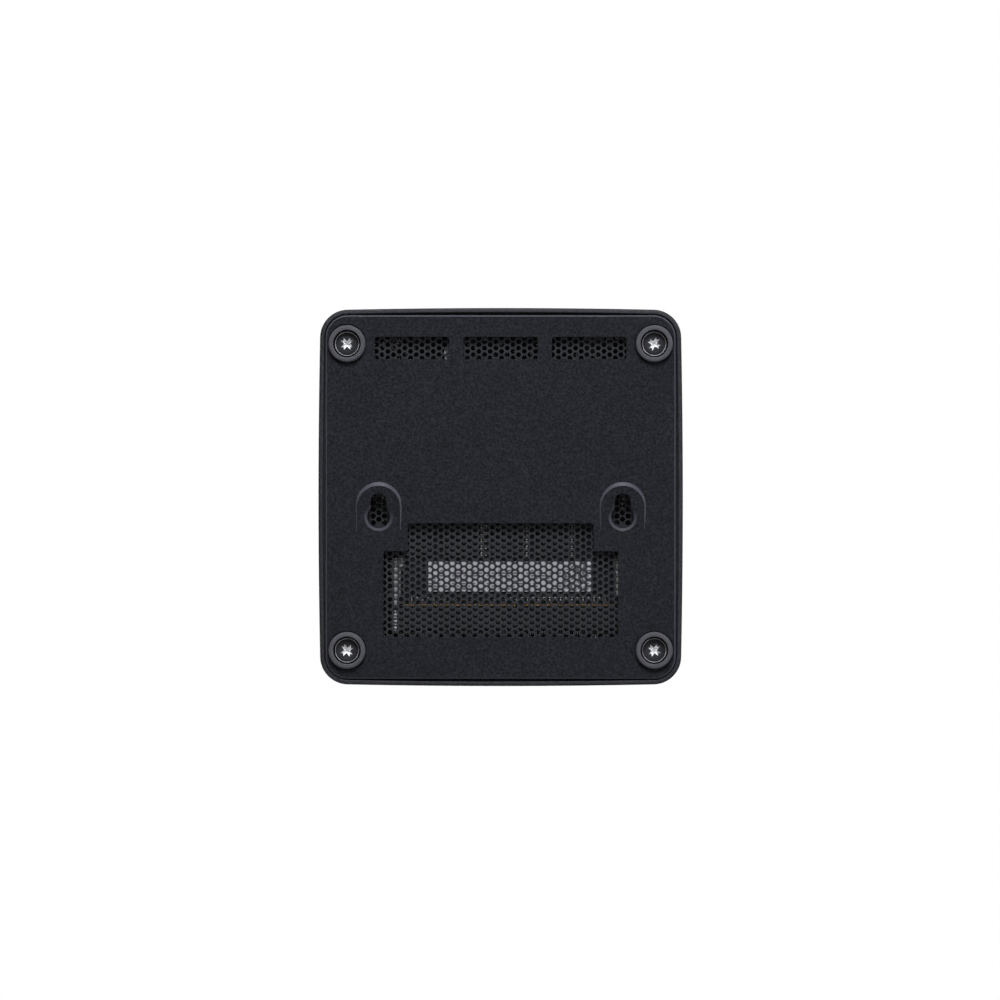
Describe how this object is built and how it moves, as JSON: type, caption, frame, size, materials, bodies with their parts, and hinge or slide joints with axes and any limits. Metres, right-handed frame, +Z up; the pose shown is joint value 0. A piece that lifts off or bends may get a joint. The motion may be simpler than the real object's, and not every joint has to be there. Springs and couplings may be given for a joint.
{
  "type": "mini pc",
  "caption": "Small square desktop computer with a screwed bottom cover, ring feet, vent windows and keyholes for wall mounting.",
  "frame": {"origin": "centre of the footprint, on the plane that the feet stand on", "axes": "+Z up, -Y to the front with the power button, +Y to the rear ports, +X to the right seen from the front"},
  "size_m": [0.112, 0.1162, 0.042],
  "materials": {
    "top_shell": "fine spark-eroded texture, charcoal",
    "bottom_cover": "fine leathery spark-eroded grain, bluish charcoal",
    "foot_rubber": "soft moulded rubber, matte",
    "black_steel": "black oxide",
    "vent_mesh": "black painted sheet",
    "bright_metal": "nickel plated",
    "brass": "turned and knurled; gold on contacts",
    "circuit_board": "dark solder mask",
    "black_plastic": "moulded, satin",
    "aluminium": "milled",
    "label": "plain paper with blank bars",
    "light_pipe": "clear, polished"
  },
  "bodies": {
    "chassis": {"top_shell": "top_shell", "board_screw_1": "bright_metal", "board_screw_2": "bright_metal", "board_screw_3": "bright_metal", "board_screw_4": "bright_metal", "ssd_screw": "bright_metal", "clock_cell": "bright_metal", "processor": "bright_metal", "usb_front_left": "bright_metal", "usb_front_right": "bright_metal", "usb_c_front": "bright_metal", "hdmi_left": "bright_metal", "hdmi_right": "bright_metal", "lan_jack": "bright_metal", "usb_rear_lower": "bright_metal", "usb_rear_upper": "bright_metal", "threaded_insert_front_left": "brass", "threaded_insert_front_right": "brass", "threaded_insert_rear_left": "brass", "threaded_insert_rear_right": "brass", "mainboard": "circuit_board", "memory_module": "circuit_board", "ssd_card": "circuit_board", "wifi_card": "circuit_board", "memory_socket": "black_plastic", "memory_chip_1": "black_plastic", "memory_chip_2": "black_plastic", "memory_chip_3": "black_plastic", "memory_chip_4": "black_plastic", "ssd_connector": "black_plastic", "ssd_chip": "black_plastic", "blower_housing": "black_plastic", "button_switch": "black_plastic", "audio_jack": "black_plastic", "dc_jack": "black_plastic", "heatsink": "aluminium", "memory_label": "label", "light_pipe": "light_pipe"},
    "cover": {"bottom_cover": "bottom_cover", "main_vent_mesh": "vent_mesh", "rear_vent_mesh": "vent_mesh", "keyhole_cup_left": "vent_mesh", "keyhole_cup_right": "vent_mesh", "foot_front_left": "foot_rubber", "foot_front_right": "foot_rubber", "foot_rear_left": "foot_rubber", "foot_rear_right": "foot_rubber"},
    "retainer_front_left": {"screw_retainer_front_left": "black_steel"},
    "screw_front_left": {"cover_screw_front_left": "black_steel"},
    "retainer_front_right": {"screw_retainer_front_right": "black_steel"},
    "screw_front_right": {"cover_screw_front_right": "black_steel"},
    "retainer_rear_left": {"screw_retainer_rear_left": "black_steel"},
    "screw_rear_left": {"cover_screw_rear_left": "black_steel"},
    "retainer_rear_right": {"screw_retainer_rear_right": "black_steel"},
    "screw_rear_right": {"cover_screw_rear_right": "black_steel"},
    "rotor": {"fan_rotor": "black_plastic"},
    "button": {"power_button": "black_plastic"},
    "latch_left": {"memory_latch_left": "bright_metal"},
    "latch_right": {"memory_latch_right": "bright_metal"}
  },
  "joints": [
    {"name": "cover_removal", "type": "slide", "parent": "chassis", "child": "cover", "axis": [0, 0, -1], "range_m": [0, 0.06]},
    {"name": "screw_rise_front_left", "type": "slide", "parent": "cover", "child": "retainer_front_left", "axis": [0, 0, -1], "range_m": [0, 0.0032]},
    {"name": "screw_turn_front_left", "type": "hinge", "parent": "retainer_front_left", "child": "screw_front_left", "pos_m": [-0.0472, -0.0471, 0], "axis": [0, 0, -1], "range_deg": [0, 2304]},
    {"name": "screw_rise_front_right", "type": "slide", "parent": "cover", "child": "retainer_front_right", "axis": [0, 0, -1], "range_m": [0, 0.0032]},
    {"name": "screw_turn_front_right", "type": "hinge", "parent": "retainer_front_right", "child": "screw_front_right", "pos_m": [0.0472, -0.0471, 0], "axis": [0, 0, -1], "range_deg": [0, 2304]},
    {"name": "screw_rise_rear_left", "type": "slide", "parent": "cover", "child": "retainer_rear_left", "axis": [0, 0, -1], "range_m": [0, 0.0032]},
    {"name": "screw_turn_rear_left", "type": "hinge", "parent": "retainer_rear_left", "child": "screw_rear_left", "pos_m": [-0.0472, 0.0471, 0], "axis": [0, 0, -1], "range_deg": [0, 2304]},
    {"name": "screw_rise_rear_right", "type": "slide", "parent": "cover", "child": "retainer_rear_right", "axis": [0, 0, -1], "range_m": [0, 0.0032]},
    {"name": "screw_turn_rear_right", "type": "hinge", "parent": "retainer_rear_right", "child": "screw_rear_right", "pos_m": [0.0472, 0.0471, 0], "axis": [0, 0, -1], "range_deg": [0, 2304]},
    {"name": "fan_spin", "type": "hinge", "parent": "chassis", "child": "rotor", "pos_m": [0, 0.002, 0.03], "axis": [0, 0, 1], "continuous": true},
    {"name": "power_press", "type": "slide", "parent": "chassis", "child": "button", "axis": [0, 1, 0], "range_m": [0, 0.0006], "stiffness_N_per_m": 1500, "springref_m": -0.0002},
    {"name": "latch_open_left", "type": "hinge", "parent": "chassis", "child": "latch_left", "pos_m": [-0.037, -0.0336, 0.008], "axis": [0, 0, 1], "range_deg": [0, 8], "stiffness_Nm_per_rad": 0.02},
    {"name": "latch_open_right", "type": "hinge", "parent": "chassis", "child": "latch_right", "pos_m": [0.0324, -0.0336, 0.008], "axis": [0, 0, -1], "range_deg": [0, 8], "stiffness_Nm_per_rad": 0.02}
  ],
  "couplings": [
    {"joint": "screw_turn_front_left", "follows": "screw_rise_front_left", "rad_per_m": 12566},
    {"joint": "screw_turn_front_right", "follows": "screw_rise_front_right", "rad_per_m": 12566},
    {"joint": "screw_turn_rear_left", "follows": "screw_rise_rear_left", "rad_per_m": 12566},
    {"joint": "screw_turn_rear_right", "follows": "screw_rise_rear_right", "rad_per_m": 12566}
  ]
}
